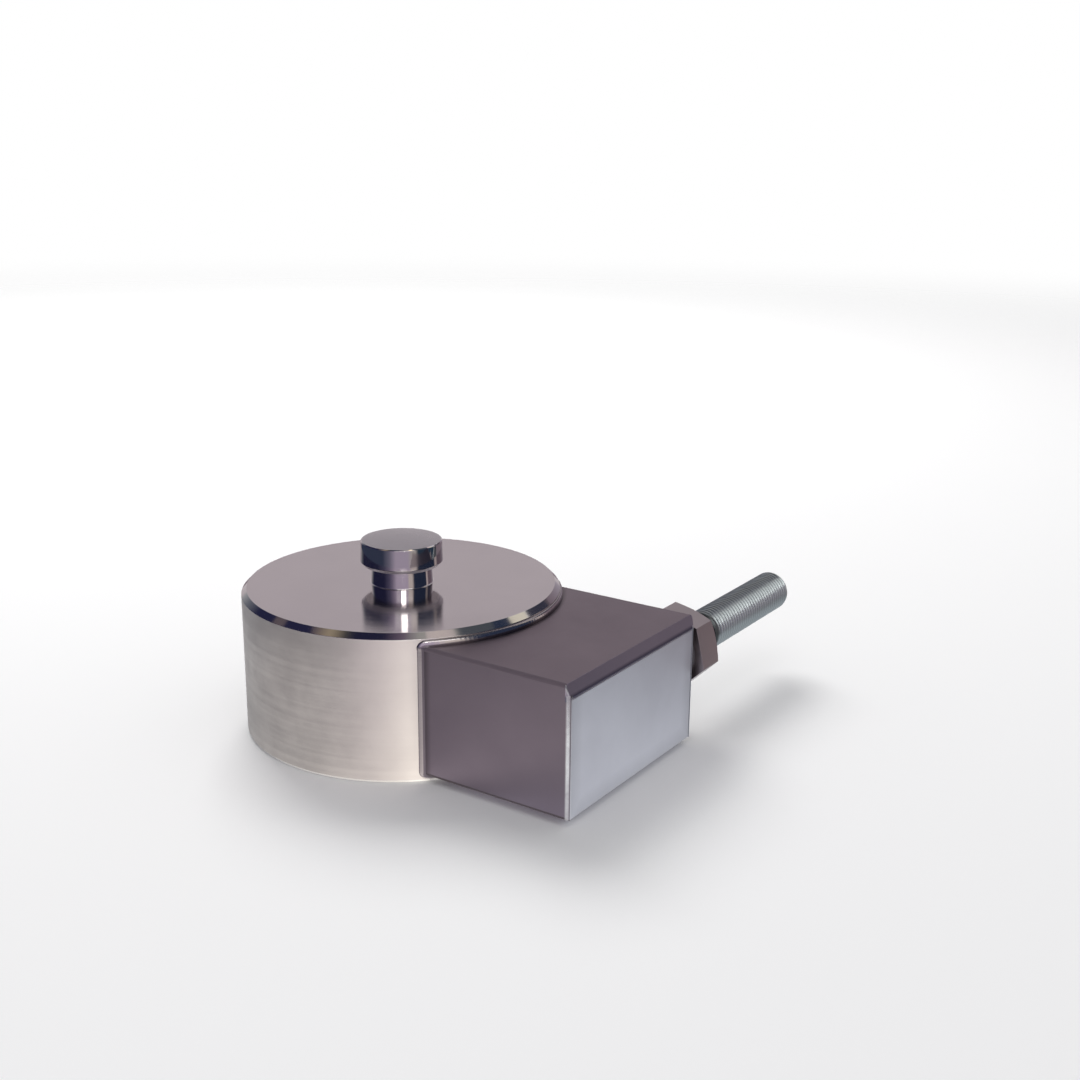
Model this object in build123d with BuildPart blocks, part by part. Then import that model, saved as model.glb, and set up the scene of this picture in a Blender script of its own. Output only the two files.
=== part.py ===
from build123d import *
import os
from math import radians, sqrt, tan

# Low-profile compression load cell, millimetres, +Z up.
# The origin is the centre of the underside, +X points at the terminal housing
# and +Y along the threaded cable stem.

# Elastic body: a base ring, a thin web and a hub turned from one bar
body_radius = 45.0
body_height = 41.5
rim_chamfer = 1.5
foot_chamfer = 0.8
hub_radius = 13.0
ring_bore_radius = 30.0
web_thickness = 9.0
chamber_fillet = 2.0

# Load button, screwed into the hub
button_radius = 11.75
button_height = 12.3
button_neck_height = 5.1
button_neck_radius = 8.8
button_neck_foot_radius = 8.5
button_foot_chamfer = 0.3
button_under_chamfer = 1.2
button_rim_chamfer = 0.3
button_dome_radius = 60.0
button_spigot_radius = 6.0
button_spigot_length = 12.0
button_spigot_chamfer = 0.8

# Tapped base holes
base_bolt_circle_radius = 39.0
base_bolt_count = 4
base_hole_radius = 2.5
base_hole_depth = 12.0
base_hole_chamfer = 0.5

# Bottom cover
cover_recess_radius = 33.0
cover_recess_depth = 3.0
cover_thickness = 2.5
cover_side_gap = 0.05
cover_edge_chamfer = 0.4
cover_hub_gap = 0.8
cover_groove_radius = 24.0
cover_groove_width = 3.0
cover_groove_depth = 0.8

# Strain gauges on the underside of the web
gauge_pair_count = 4
gauge_length = 5.0
gauge_width = 4.0
gauge_thickness = 0.3
gauge_edge_gap = 0.4
harness_width = 1.8
harness_thickness = 0.3
strip_length = 7.0
strip_width = 3.0
strip_thickness = 1.2
strip_edge_gap = 0.5

# Radial feed hole with its sleeve and the four bridge leads
feed_radius = 3.5
feed_height = 20.0
sleeve_bore_radius = 2.5
sleeve_stand_out = 2.0
lead_count = 4
lead_radius = 0.45
lead_pitch = 1.0
lead_bend_radius = 3.0

# Terminal housing, a rounded box welded to the side of the body
housing_width = 63.0
housing_bottom = 2.0
housing_drop = 3.5
housing_end = 77.5
housing_edge_radius = 1.0
housing_side_wall = 3.5
housing_floor_wall = 3.5
housing_roof_wall = 5.0
housing_inner_radius = 1.5
end_bevel_depth = 1.2
end_bevel_height = 3.4
end_side_bevel = 0.8
weld_width = 1.3
weld_rounding = 0.9

# End cover let into the open end of the housing
end_cover_thickness = 2.5
end_cover_side_margin = 1.0
end_cover_top_land = 0.3
end_cover_corner_radius = 0.6
end_cover_gap = 0.1
end_cover_plug_depth = 1.5
end_cover_plug_gap = 0.15
end_cover_edge_chamfer = 0.25

# Circuit board on four posts
board_width = 20.0
board_thickness = 1.6
board_corner_radius = 1.5
board_end_gap = 2.5
post_height = 6.0
post_radius = 2.6
post_inset = 3.2
screw_radius = 1.25
screw_length = 5.0
screw_head_radius = 2.3
screw_head_height = 1.6
screw_slot_width = 0.5
screw_slot_depth = 0.7
screw_hole_gap = 0.1
lead_row_inset = 3.0

# Trim resistors and terminal block on the board
resistor_count = 4
resistor_length = 5.0
resistor_width = 2.6
resistor_height = 1.4
resistor_edge_chamfer = 0.3
resistor_pitch = 4.2
resistor_end_gap = 2.9
block_way_count = 4
block_way_pitch = 5.0
block_width = 7.0
block_height = 9.0
block_resistor_gap = 3.9
block_screw_head_gap = 0.5
block_inset = 1.5
block_wire_width = 3.0
block_wire_height = 3.2
block_wire_depth = 4.0
block_wire_sill = 1.6
block_screw_radius = 1.7
block_screw_depth = 2.0
block_screw_offset = 0.8
block_screw_height = 1.5
block_screw_slot_width = 0.5
block_screw_slot_depth = 0.6
block_top_chamfer = 1.2

# Cable entry: seal washer, hexagon fitting, threaded stem and rubber bush
gland_x = 68.5
gland_height = 24.9
gland_spigot_radius = 5.5
washer_radius = 8.5
washer_thickness = 2.0
hex_across_flats = 20.6
hex_turn = 14.0
hex_length = 10.2
hex_face_radius = 9.0
hex_chamfer_angle = 30.0
hex_socket_depth = 6.5
stem_tail_radius = 5.2
stem_radius = 6.0
stem_length = 57.0
stem_bore_radius = 4.0
stem_end_chamfer = 1.0
bush_depth = 6.0
bush_bore_radius = 3.0
bush_lip_height = 0.8
bush_lip_radius = 4.7

os.makedirs("parts", exist_ok=True)

# Elastic body: base ring, thin web and hub in one turned piece
web_underside = body_height - web_thickness
hub_underside = cover_recess_depth + cover_hub_gap

with BuildPart() as elastic_body:
    with BuildSketch(Plane.XZ) as body_profile:
        with BuildLine():
            Polyline(
                (0, body_height),
                (0, hub_underside),
                (hub_radius, hub_underside),
                (hub_radius, web_underside),
                (ring_bore_radius, web_underside),
                (ring_bore_radius, cover_recess_depth),
                (cover_recess_radius, cover_recess_depth),
                (cover_recess_radius, 0),
                (body_radius - foot_chamfer, 0),
                (body_radius, foot_chamfer),
                (body_radius, body_height - rim_chamfer),
                (body_radius - rim_chamfer, body_height),
                close=True,
            )
        make_face()
        corners = body_profile.vertices()
        fillet(corners.filter_by(lambda v: abs(v.Y - web_underside) < 0.001), chamber_fillet)
    revolve(axis=Axis.Z)
    # Blind hole in the hub for the load button's spigot
    with BuildSketch(Plane.XY.offset(body_height)):
        Circle(button_spigot_radius)
    extrude(amount=-button_spigot_length, mode=Mode.SUBTRACT)
    # Tapped holes that hold the cell down on its base plate
    with BuildSketch(Plane.XY):
        with PolarLocations(base_bolt_circle_radius, base_bolt_count, start_angle=45):
            Circle(base_hole_radius)
    extrude(amount=base_hole_depth, mode=Mode.SUBTRACT)
    with BuildSketch(Plane.XY):
        with PolarLocations(base_bolt_circle_radius, base_bolt_count, start_angle=45):
            Circle(base_hole_radius + base_hole_chamfer)
    extrude(amount=base_hole_radius + base_hole_chamfer, taper=45, mode=Mode.SUBTRACT)
    # Radial hole that lets the bridge leads out of the gauge chamber
    with BuildSketch(Plane.YZ.offset((hub_radius + ring_bore_radius) / 2)):
        with Locations((0, feed_height)):
            Circle(feed_radius)
    extrude(amount=body_radius, mode=Mode.SUBTRACT)
elastic_body.part.label = "elastic_body"
export_step(elastic_body.part, "parts/elastic_body.step")

# Load button: a domed head on a waisted neck, with a spigot down into the hub
button_shoulder = body_height + button_neck_height
button_top = body_height + button_height
dome_edge_radius = button_radius - button_rim_chamfer
dome_rise = button_dome_radius - sqrt(button_dome_radius**2 - dome_edge_radius**2)
button_apex = button_top + dome_rise
spigot_end = body_height - button_spigot_length

with BuildPart() as load_button:
    with BuildSketch(Plane.XZ):
        with BuildLine():
            Polyline(
                (0, button_apex),
                (0, spigot_end),
                (button_spigot_radius - button_spigot_chamfer, spigot_end),
                (button_spigot_radius, spigot_end + button_spigot_chamfer),
                (button_spigot_radius, body_height),
                (button_neck_foot_radius - button_foot_chamfer, body_height),
                (button_neck_foot_radius, body_height + button_foot_chamfer),
                (button_neck_radius, button_shoulder),
                (button_radius - button_under_chamfer, button_shoulder),
                (button_radius, button_shoulder + button_under_chamfer),
                (button_radius, button_top - button_rim_chamfer),
                (dome_edge_radius, button_top),
            )
            RadiusArc((dome_edge_radius, button_top), (0, button_apex), -button_dome_radius)
        make_face()
    revolve(axis=Axis.Z)
load_button.part.label = "load_button"
export_step(load_button.part, "parts/load_button.step")

# Bottom cover: a turned disc with a shallow relief groove, set into the recess
cover_radius = cover_recess_radius - cover_side_gap
cover_underside = cover_recess_depth - cover_thickness
with BuildPart() as bottom_cover:
    with BuildSketch(Plane.XY.offset(cover_underside)):
        Circle(cover_radius)
    extrude(amount=cover_thickness)
    chamfer(bottom_cover.faces().sort_by(Axis.Z)[0].edges(), cover_edge_chamfer)
    with BuildSketch(Plane.XY.offset(cover_underside)):
        Circle(cover_groove_radius + cover_groove_width / 2)
        Circle(cover_groove_radius - cover_groove_width / 2, mode=Mode.SUBTRACT)
    extrude(amount=cover_groove_depth, mode=Mode.SUBTRACT)
bottom_cover.part.label = "bottom_cover"
export_step(bottom_cover.part, "parts/bottom_cover.step")

# Strain gauges: one near the hub and one near the ring at each of four stations
inner_gauge_centre = hub_radius + chamber_fillet + gauge_edge_gap + gauge_length / 2
outer_gauge_centre = ring_bore_radius - chamber_fillet - gauge_edge_gap - gauge_length / 2
gauge_places = []
for station in range(gauge_pair_count):
    station_angle = (station + 0.5) * 360 / gauge_pair_count
    gauge_places.append((inner_gauge_centre, station_angle))
    gauge_places.append((outer_gauge_centre, station_angle))

for index, (gauge_centre, station_angle) in enumerate(gauge_places, start=1):
    with BuildPart() as strain_gauge:
        with BuildSketch(Plane.XY.offset(web_underside).rotated((0, 0, station_angle))):
            with Locations((gauge_centre, 0)):
                Rectangle(gauge_length, gauge_width)
        extrude(amount=-gauge_thickness)
    strain_gauge.part.label = f"strain_gauge_{index}"
    export_step(strain_gauge.part, f"parts/strain_gauge_{index}.step")

# Bridge harness: a flat ring between the inner and outer gauges, with a tab to the strip
harness_radius = (inner_gauge_centre + outer_gauge_centre) / 2
strip_centre = ring_bore_radius - chamber_fillet - strip_edge_gap - strip_width / 2
strip_inner_edge = strip_centre - strip_width / 2
with BuildPart() as bridge_harness:
    with BuildSketch(Plane.XY.offset(web_underside)):
        Circle(harness_radius + harness_width / 2)
        with Locations((strip_inner_edge / 2, 0)):
            Rectangle(strip_inner_edge, strip_length)
        Circle(harness_radius - harness_width / 2, mode=Mode.SUBTRACT)
    extrude(amount=-harness_thickness)
bridge_harness.part.label = "bridge_harness"
export_step(bridge_harness.part, "parts/bridge_harness.step")

# Terminal strip, glued to the web just inside the feed hole
with BuildPart() as terminal_strip:
    with BuildSketch(Plane.XY.offset(web_underside)):
        with Locations((strip_centre, 0)):
            Rectangle(strip_width, strip_length)
    extrude(amount=-strip_thickness)
terminal_strip.part.label = "terminal_strip"
export_step(terminal_strip.part, "parts/terminal_strip.step")

# Feed sleeve: an insulating tube pressed through the ring into the housing
with BuildPart() as feed_sleeve:
    with BuildSketch(Plane.YZ.offset(ring_bore_radius)):
        with Locations((0, feed_height)):
            Circle(feed_radius)
            Circle(sleeve_bore_radius, mode=Mode.SUBTRACT)
    extrude(amount=body_radius - ring_bore_radius + sleeve_stand_out)
feed_sleeve.part.label = "feed_sleeve"
export_step(feed_sleeve.part, "parts/feed_sleeve.step")

# Terminal housing: a rounded tube with its back cut to the body and its end open
housing_half_width = housing_width / 2
housing_top = body_height - housing_drop
housing_height = housing_top - housing_bottom
housing_middle = (housing_top + housing_bottom) / 2
room_half_width = housing_half_width - housing_side_wall
room_floor = housing_bottom + housing_floor_wall
room_roof = housing_top - housing_roof_wall
room_middle = (room_floor + room_roof) / 2
end_cover_back = housing_end - end_cover_thickness
rebate_half_width = housing_half_width - end_cover_side_margin
rebate_top = housing_top - end_bevel_height - end_cover_top_land
rebate_height = rebate_top - housing_bottom
rebate_middle = (rebate_top + housing_bottom) / 2

with BuildPart() as terminal_housing:
    with BuildSketch(Plane.YZ):
        with Locations((0, housing_middle)):
            RectangleRounded(housing_width, housing_height, housing_edge_radius)
    extrude(amount=housing_end)
    # Bevels round the open end: a steep one along the top, small ones down the sides
    with BuildSketch(Plane.XZ) as top_bevel:
        with BuildLine():
            Polyline(
                (housing_end - end_bevel_depth, housing_top),
                (housing_end, housing_top - end_bevel_height),
                (housing_end, housing_top),
                close=True,
            )
        make_face()
    extrude(amount=housing_half_width, both=True, mode=Mode.SUBTRACT)
    with BuildSketch(Plane.XY):
        for side in (-1, 1):
            with BuildLine():
                Polyline(
                    (housing_end, side * housing_half_width),
                    (housing_end - end_side_bevel, side * housing_half_width),
                    (housing_end, side * (housing_half_width - end_side_bevel)),
                    close=True,
                )
            make_face()
    extrude(amount=housing_top, mode=Mode.SUBTRACT)
    # The room for the board, the rebate for the end cover (open below) and the saddle
    with BuildSketch(Plane.YZ):
        with Locations((0, room_middle)):
            RectangleRounded(2 * room_half_width, room_roof - room_floor, housing_inner_radius)
    extrude(amount=housing_end, mode=Mode.SUBTRACT)
    with BuildSketch(Plane.YZ.offset(end_cover_back)) as rebate:
        with Locations((0, rebate_middle)):
            Rectangle(2 * rebate_half_width, rebate_height)
        fillet(rebate.vertices().group_by(Axis.Y)[-1], end_cover_corner_radius)
    extrude(amount=end_cover_thickness, mode=Mode.SUBTRACT)
    with BuildSketch(Plane.XY):
        Circle(body_radius)
    extrude(amount=housing_top, mode=Mode.SUBTRACT)
    # Hole in the far side wall for the spigot of the hexagon fitting
    with BuildSketch(Plane.XZ.offset(-room_half_width)):
        with Locations((gland_x, gland_height)):
            Circle(gland_spigot_radius)
    extrude(amount=-housing_side_wall, mode=Mode.SUBTRACT)
terminal_housing.part.label = "terminal_housing"
export_step(terminal_housing.part, "parts/terminal_housing.step")

# Saddle weld: a bead of even width round the housing, with its outer corner rounded
with BuildPart() as saddle_weld:
    with BuildSketch(Plane.YZ):
        with Locations((0, housing_middle)):
            RectangleRounded(
                housing_width + 2 * weld_width,
                housing_height + 2 * weld_width,
                housing_edge_radius + weld_width,
            )
            RectangleRounded(housing_width, housing_height, housing_edge_radius, mode=Mode.SUBTRACT)
    extrude(amount=housing_end)
    with BuildSketch(Plane.XY):
        Circle(body_radius + weld_width)
        Circle(body_radius, mode=Mode.SUBTRACT)
    extrude(amount=body_height, mode=Mode.INTERSECT)
    weld_crown = saddle_weld.faces().sort_by(lambda face: face.bounding_box().max.X)[-1]
    fillet(weld_crown.outer_wire().edges(), weld_rounding)
saddle_weld.part.label = "saddle_weld"
export_step(saddle_weld.part, "parts/saddle_weld.step")

# End cover: a plate in its rebate, flush with the underside, with a plug in the opening
with BuildPart() as end_cover:
    with BuildSketch(Plane.YZ.offset(end_cover_back)) as plate:
        with Locations((0, rebate_middle - end_cover_gap / 2)):
            Rectangle(2 * (rebate_half_width - end_cover_gap), rebate_height - end_cover_gap)
        fillet(plate.vertices().group_by(Axis.Y)[-1], end_cover_corner_radius - end_cover_gap)
    extrude(amount=end_cover_thickness)
    chamfer(end_cover.faces().sort_by(Axis.X)[-1].edges(), end_cover_edge_chamfer)
    with BuildSketch(Plane.YZ.offset(end_cover_back)):
        with Locations((0, room_middle)):
            RectangleRounded(
                2 * (room_half_width - end_cover_plug_gap),
                room_roof - room_floor - 2 * end_cover_plug_gap,
                housing_inner_radius - end_cover_plug_gap,
            )
    extrude(amount=-end_cover_plug_depth)
end_cover.part.label = "end_cover"
export_step(end_cover.part, "parts/end_cover.step")

# Circuit board: long enough for its screws, the terminal block and the resistor row
block_length = block_way_count * block_way_pitch
resistor_row_length = (resistor_count - 1) * resistor_pitch + resistor_width
block_board_gap = post_inset + screw_head_radius + block_screw_head_gap
board_length = (
    block_board_gap + block_length + block_resistor_gap + resistor_row_length + resistor_end_gap
)
block_row_y = board_length / 2 - block_board_gap - block_length / 2
resistor_row_y = resistor_end_gap + resistor_row_length / 2 - board_length / 2
board_outer_x = end_cover_back - end_cover_plug_depth - board_end_gap
board_x = board_outer_x - board_width / 2
board_inner_x = board_outer_x - board_width
board_underside = room_floor + post_height
board_top = board_underside + board_thickness
post_pitch_x = board_width - 2 * post_inset
post_pitch_y = board_length - 2 * post_inset
lead_row_x = board_inner_x + lead_row_inset
with BuildPart() as circuit_board:
    with BuildSketch(Plane.XY.offset(board_underside)):
        with Locations((board_x, 0)):
            RectangleRounded(board_width, board_length, board_corner_radius)
            with GridLocations(post_pitch_x, post_pitch_y, 2, 2):
                Circle(screw_radius + screw_hole_gap, mode=Mode.SUBTRACT)
    extrude(amount=board_thickness)
circuit_board.part.label = "circuit_board"
export_step(circuit_board.part, "parts/circuit_board.step")

# Posts on the housing floor and the slotted screws that clamp the board to them
post_places = GridLocations(post_pitch_x, post_pitch_y, 2, 2).locations
for index, place in enumerate(post_places, start=1):
    post_x = board_x + place.position.X
    post_y = place.position.Y
    with BuildPart() as board_post:
        with BuildSketch(Plane.XY.offset(room_floor)):
            with Locations((post_x, post_y)):
                Circle(post_radius)
        extrude(amount=post_height)
        with BuildSketch(Plane.XY.offset(board_underside)):
            with Locations((post_x, post_y)):
                Circle(screw_radius)
        extrude(amount=-(screw_length - board_thickness), mode=Mode.SUBTRACT)
    board_post.part.label = f"board_post_{index}"
    export_step(board_post.part, f"parts/board_post_{index}.step")

    with BuildPart() as board_screw:
        with BuildSketch(Plane.XY.offset(board_top)):
            with Locations((post_x, post_y)):
                Circle(screw_radius)
        extrude(amount=-screw_length)
        with BuildSketch(Plane.XY.offset(board_top)):
            with Locations((post_x, post_y)):
                Circle(screw_head_radius)
        extrude(amount=screw_head_height)
        with BuildSketch(Plane.XY.offset(board_top + screw_head_height)):
            with Locations((post_x, post_y)):
                Rectangle(2 * screw_head_radius, screw_slot_width)
        extrude(amount=-screw_slot_depth, mode=Mode.SUBTRACT)
    board_screw.part.label = f"board_screw_{index}"
    export_step(board_screw.part, f"parts/board_screw_{index}.step")

# Bridge leads: side by side from the strip, through the sleeve and down to the board
for index in range(lead_count):
    lead_y = (index - (lead_count - 1) / 2) * lead_pitch
    strip_face = (strip_centre, lead_y, web_underside - strip_thickness)
    with BuildPart() as bridge_lead:
        with BuildLine() as lead_route:
            FilletPolyline(
                strip_face,
                (strip_centre, lead_y, feed_height),
                (lead_row_x, lead_y, feed_height),
                (lead_row_x, lead_y, board_top),
                radius=lead_bend_radius,
            )
        with BuildSketch(Plane(origin=strip_face, z_dir=(0, 0, -1))):
            Circle(lead_radius)
        sweep(path=lead_route.line)
    bridge_lead.part.label = f"bridge_lead_{index + 1}"
    export_step(bridge_lead.part, f"parts/bridge_lead_{index + 1}.step")

# Trim resistors in a row on the board
for index in range(resistor_count):
    resistor_y = resistor_row_y + (index - (resistor_count - 1) / 2) * resistor_pitch
    with BuildPart() as trim_resistor:
        with BuildSketch(Plane.XY.offset(board_top)):
            with Locations((board_x, resistor_y)):
                Rectangle(resistor_length, resistor_width)
        extrude(amount=resistor_height)
        chamfer(trim_resistor.faces().sort_by(Axis.Z)[-1].edges(), resistor_edge_chamfer)
    trim_resistor.part.label = f"trim_resistor_{index + 1}"
    export_step(trim_resistor.part, f"parts/trim_resistor_{index + 1}.step")

# Terminal block: wire mouths towards the body, a screw well over each
block_x = board_outer_x - block_inset - block_width / 2
block_mouth_x = block_x - block_width / 2
block_screw_x = block_x + block_screw_offset
block_top = board_top + block_height
with BuildPart() as terminal_block:
    with BuildSketch(Plane.XY.offset(board_top)):
        with Locations((block_x, block_row_y)):
            Rectangle(block_width, block_length)
    extrude(amount=block_height)
    chamfer(terminal_block.edges().filter_by(Axis.Y).group_by(Axis.Z)[-1].sort_by(Axis.X)[0], block_top_chamfer)
    with BuildSketch(Plane.YZ.offset(block_mouth_x)):
        with Locations((block_row_y, board_top + block_wire_sill + block_wire_height / 2)):
            with GridLocations(block_way_pitch, block_way_pitch, block_way_count, 1):
                Rectangle(block_wire_width, block_wire_height)
    extrude(amount=block_wire_depth, mode=Mode.SUBTRACT)
    with BuildSketch(Plane.XY.offset(block_top)):
        with Locations((block_screw_x, block_row_y)):
            with GridLocations(block_way_pitch, block_way_pitch, 1, block_way_count):
                Circle(block_screw_radius)
    extrude(amount=-block_screw_depth, mode=Mode.SUBTRACT)
terminal_block.part.label = "terminal_block"
export_step(terminal_block.part, "parts/terminal_block.step")

# Clamp screws at the bottom of the wells in the terminal block
well_floor = block_top - block_screw_depth
for index in range(block_way_count):
    well_y = block_row_y + (index - (block_way_count - 1) / 2) * block_way_pitch
    with BuildPart() as block_screw:
        with BuildSketch(Plane.XY.offset(well_floor)):
            with Locations((block_screw_x, well_y)):
                Circle(block_screw_radius)
        extrude(amount=block_screw_height)
        with BuildSketch(Plane.XY.offset(well_floor + block_screw_height)):
            with Locations((block_screw_x, well_y)):
                Rectangle(2 * block_screw_radius, block_screw_slot_width)
        extrude(amount=-block_screw_slot_depth, mode=Mode.SUBTRACT)
    block_screw.part.label = f"block_screw_{index + 1}"
    export_step(block_screw.part, f"parts/block_screw_{index + 1}.step")

# Seal washer between the far side wall and the hexagon fitting
housing_side_y = housing_half_width
hex_inner_y = housing_side_y + washer_thickness
hex_outer_y = hex_inner_y + hex_length
stem_inner_y = hex_outer_y - hex_socket_depth
stem_outer_y = hex_outer_y + stem_length


def gland_plane(y):
    """Plane square to the cable axis at this distance from the XZ plane."""
    return Plane(origin=(gland_x, y, gland_height), x_dir=(1, 0, 0), z_dir=(0, 1, 0))


with BuildPart() as seal_washer:
    with BuildSketch(gland_plane(housing_side_y)):
        Circle(washer_radius)
        Circle(gland_spigot_radius, mode=Mode.SUBTRACT)
    extrude(amount=washer_thickness)
seal_washer.part.label = "seal_washer"
export_step(seal_washer.part, "parts/seal_washer.step")

# Hexagon fitting: hexagon bar with a turned chamfer, a spigot and a socket for the stem's tail
hex_corner_radius = hex_across_flats / sqrt(3)
blank_radius = hex_corner_radius + 1
blank_chamfer = (blank_radius - hex_face_radius) * tan(radians(hex_chamfer_angle))
gland_axis = Axis((gland_x, 0, gland_height), (0, 1, 0))
with BuildPart() as hex_fitting:
    with BuildSketch(gland_plane(hex_inner_y)):
        RegularPolygon(hex_across_flats / 2, 6, major_radius=False, rotation=-30 - hex_turn)
    extrude(amount=hex_length)
    with BuildSketch(Plane((gland_x, hex_inner_y, gland_height))):
        with BuildLine():
            Polyline(
                (0, 0),
                (blank_radius, 0),
                (blank_radius, hex_length - blank_chamfer),
                (hex_face_radius, hex_length),
                (0, hex_length),
                close=True,
            )
        make_face()
    revolve(axis=gland_axis, mode=Mode.INTERSECT)
    with BuildSketch(gland_plane(room_half_width)):
        Circle(gland_spigot_radius)
    extrude(amount=hex_inner_y - room_half_width)
    with BuildSketch(gland_plane(stem_inner_y)):
        Circle(stem_tail_radius)
    extrude(amount=hex_socket_depth, mode=Mode.SUBTRACT)
    with BuildSketch(gland_plane(room_half_width)):
        Circle(stem_bore_radius)
    extrude(amount=hex_outer_y - room_half_width, mode=Mode.SUBTRACT)
hex_fitting.part.label = "hex_fitting"
export_step(hex_fitting.part, "parts/hex_fitting.step")

# Threaded stem: a tube at the thread's outer size, with a thinner tail in the fitting
with BuildPart() as threaded_stem:
    with BuildSketch(gland_plane(stem_inner_y)):
        Circle(stem_tail_radius)
    extrude(amount=hex_socket_depth)
    with BuildSketch(gland_plane(hex_outer_y)):
        Circle(stem_radius)
    extrude(amount=stem_length)
    chamfer(threaded_stem.faces().sort_by(Axis.Y)[-1].edges(), stem_end_chamfer)
    with BuildSketch(gland_plane(stem_inner_y)):
        Circle(stem_bore_radius)
    extrude(amount=stem_outer_y - stem_inner_y, mode=Mode.SUBTRACT)
threaded_stem.part.label = "threaded_stem"
export_step(threaded_stem.part, "parts/threaded_stem.step")

# Cable bush: a rubber liner pushed into the end of the stem up to its lip
with BuildPart() as cable_bush:
    with BuildSketch(gland_plane(stem_outer_y - bush_depth)):
        Circle(stem_bore_radius)
    extrude(amount=bush_depth)
    with BuildSketch(gland_plane(stem_outer_y)):
        Circle(bush_lip_radius)
    extrude(amount=bush_lip_height)
    with BuildSketch(gland_plane(stem_outer_y - bush_depth)):
        Circle(bush_bore_radius)
    extrude(amount=bush_depth + bush_lip_height, mode=Mode.SUBTRACT)
cable_bush.part.label = "cable_bush"
export_step(cable_bush.part, "parts/cable_bush.step")
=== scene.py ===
import math

import bmesh
import bpy
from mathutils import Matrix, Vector


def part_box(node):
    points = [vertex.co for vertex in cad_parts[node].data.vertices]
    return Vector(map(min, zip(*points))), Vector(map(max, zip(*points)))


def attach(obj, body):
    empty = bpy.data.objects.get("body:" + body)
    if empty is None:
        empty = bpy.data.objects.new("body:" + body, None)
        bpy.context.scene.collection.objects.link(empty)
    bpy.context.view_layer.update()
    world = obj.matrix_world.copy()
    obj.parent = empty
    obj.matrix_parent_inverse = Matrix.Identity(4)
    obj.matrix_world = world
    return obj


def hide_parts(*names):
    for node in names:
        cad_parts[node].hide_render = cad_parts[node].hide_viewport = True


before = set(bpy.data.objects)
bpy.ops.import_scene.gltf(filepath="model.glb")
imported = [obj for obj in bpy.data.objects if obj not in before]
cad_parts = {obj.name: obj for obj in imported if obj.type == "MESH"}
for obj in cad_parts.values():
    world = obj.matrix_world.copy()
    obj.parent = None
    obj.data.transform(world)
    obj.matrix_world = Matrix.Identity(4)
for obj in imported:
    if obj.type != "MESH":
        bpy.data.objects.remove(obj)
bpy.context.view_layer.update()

# Every length is in millimetres and becomes metres where Blender takes it
MM = 0.001

# Camera of the reference view
camera_place = (246.97, -295.24, 166.10)
camera_turn = (73.6566, -0.5065, 34.2235)
camera_lens = 47.106
camera_sensor = 36.0


def node_box(node):
    """Lowest and highest corner of a CAD node in millimetres."""
    low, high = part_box(node)
    return low / MM, high / MM


# Sizes that the frame gives
_, body_high = node_box("elastic_body")
body_radius = body_high.x
body_top = body_high.z
_, button_high = node_box("load_button")
button_radius = button_high.x
button_apex = button_high.z
housing_low, housing_high = node_box("terminal_housing")
cover_low, cover_high = node_box("end_cover")
_, hex_high = node_box("hex_fitting")
stem_low, stem_high = node_box("threaded_stem")
gland_x = (stem_low.x + stem_high.x) / 2
gland_z = (stem_low.z + stem_high.z) / 2
stem_radius = (stem_high.x - stem_low.x) / 2

# Elastic body, as in the CAD model, with small rounds on its turned edges
rim_chamfer = 1.5
foot_chamfer = 0.8
recess_radius = 33.0
recess_depth = 3.0
ring_bore_radius = 30.0
hub_radius = 13.0
hub_underside = 3.8
web_underside = 32.5
chamber_round = 2.0
turned_round = 0.12
turned_segments = 288
top_margin = 0.001
rim_margin = 0.03
face_margin = 0.02
bolt_circle_radius = 39.0
bolt_count = 4
bolt_first_angle = 45
bolt_hole_depth = 12.0
bolt_thread_radius = 3.0
bolt_thread_pitch = 1.0
bolt_thread_depth = 0.5
bolt_tooth_half = 0.42
bolt_mouth_chamfer = 0.5
bolt_drill_point = 1.2
bolt_cutter_overshoot = 1
bolt_segments = 48
bolt_rows_per_turn = 6

# Load button
button_top = 53.8
button_shoulder = 46.6
button_taper = 0.25
button_neck_radius = 8.5
button_neck_foot = 8.8
button_foot_cove = 0.3
button_cove_round = 0.27
button_foot_lift = 0.05
button_skirt_round = 0.02
button_skirt_depth = 0.1
button_under_chamfer = 1.2
button_under_round = 0.35
button_ground_height = 1.08
button_head_clearance = 1.0
button_rim_round = 0.3
button_dome_radius = 60.0
button_dome_steps = 14
button_seat_depth = 2.0
button_segments = 192

# Weld bead round the root of the housing
housing_edge_radius = 1.0
weld_leg = 1.0
weld_roof_leg = 1.75
weld_bulge = 0.82
weld_ripple = 0.012
weld_ripple_pitch = 1.1
weld_steps_per_mm = 3.0
weld_profile_steps = 12
weld_corner_steps = 10
weld_sink = 0.12
weld_toe_sink = 0.36
weld_toe_radius = body_radius + weld_leg
# The painted shade on the housing beside the weld ends at this radius
weld_side_shade_end = weld_toe_radius + 1.1
# Turns of the bead's surface that bound the painted highlight on its crown and the painted shade on its
# flanks
weld_crown_turns = (20, 52)
weld_flank_turns = (15, 55)
weld_smooth_angle = 50.0

# Thread of the stem
thread_pitch = 1.5
thread_depth = 0.62
thread_start = 8.8
thread_crest_power = 1.3
thread_rows_per_turn = 12
thread_smooth_angle = 24.0
stem_relief_length = 8.0
stem_relief_depth = 0.65
stem_relief_slope = 0.5
# Painted shade on the stem runs between these distances past the hexagon
root_shade_start = stem_relief_length + 0.4
root_shade_end = 9.9
stem_lead_in = 0.1
stem_end_chamfer = 1.0
stem_bore_radius = 4.0
stem_segments = 96

# Rounds and seams that the CAD nodes get from modifiers, and how meshes are cleaned and shaded
smooth_angle_limit = 32.0
doubled_gap = 0.001
flat_face_gap = 0.0005
corner_steps = 4
eased_join_gap = 0.002
eased_flat_angle = 0.5
eased_corner_angle = 28.0
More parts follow.
